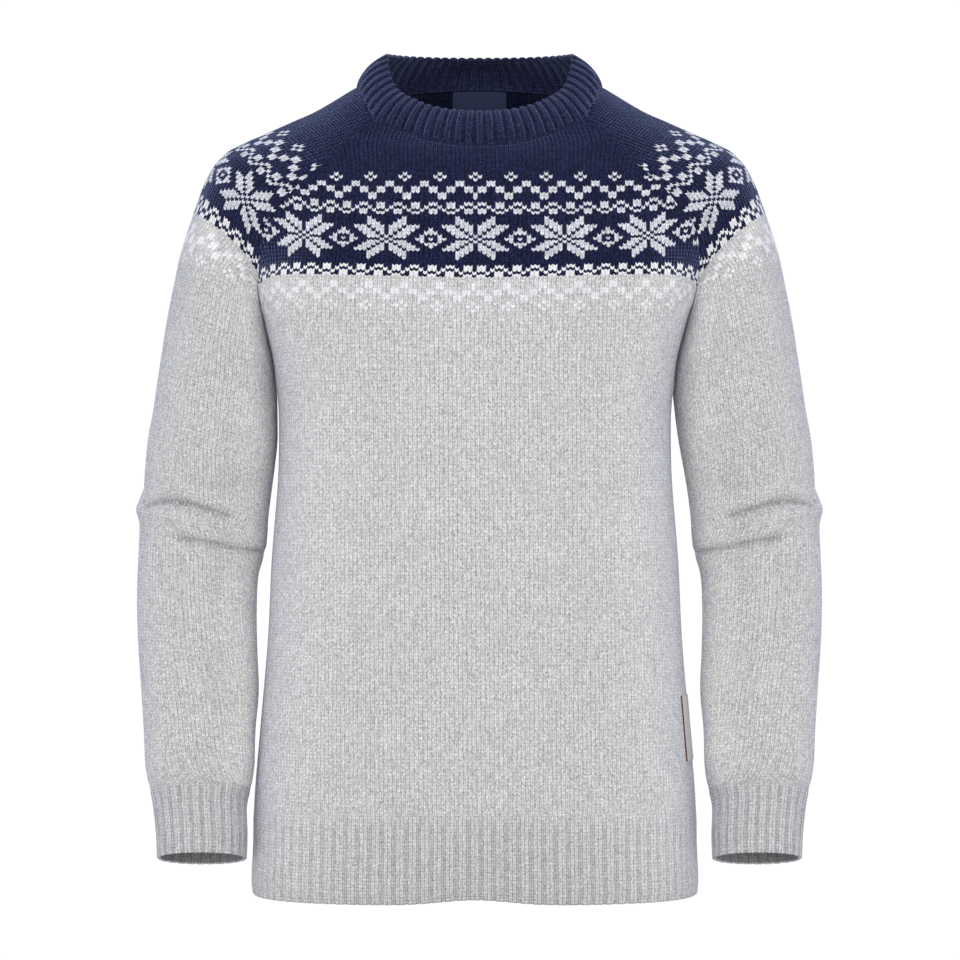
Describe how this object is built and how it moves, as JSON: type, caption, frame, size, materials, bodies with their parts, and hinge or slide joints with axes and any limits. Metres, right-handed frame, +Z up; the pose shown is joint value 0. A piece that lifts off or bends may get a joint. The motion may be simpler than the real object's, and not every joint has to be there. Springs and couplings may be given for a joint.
{
  "type": "raglan yoke sweater",
  "caption": "Crew-neck knitted wool sweater with raglan sleeves, a patterned yoke, ribbed neckband, hem and cuffs, and an open hollow body.",
  "frame": {"origin": "the middle of the neck at the level of the high shoulder points, where the garment is held when it is worn", "axes": "+X towards the wearer's left, -Y the front, +Z up"},
  "size_m": [0.6034, 0.2585, 0.7397],
  "materials": {
    "panel_knit": "plain-knitted heather wool, napped, with a stranded yoke pattern",
    "sleeve_knit": "plain-knitted heather wool, napped, with a stranded yoke pattern",
    "neckband_rib": "ribbed dark blue wool",
    "hem_rib": "ribbed heather wool",
    "cuff_rib": "ribbed heather wool",
    "label_weave": "fine woven tape, bare",
    "label_leather": "thin matt leather, bare"
  },
  "bodies": {
    "root": {"front_panel": "panel_knit", "back_panel": "panel_knit", "sleeve_right": "sleeve_knit", "sleeve_left": "sleeve_knit", "neckband": "neckband_rib", "hem_rib_front": "hem_rib", "hem_rib_back": "hem_rib", "cuff_right": "cuff_rib", "cuff_left": "cuff_rib", "neck_label": "label_weave", "side_label": "label_leather"}
  },
  "joints": []
}
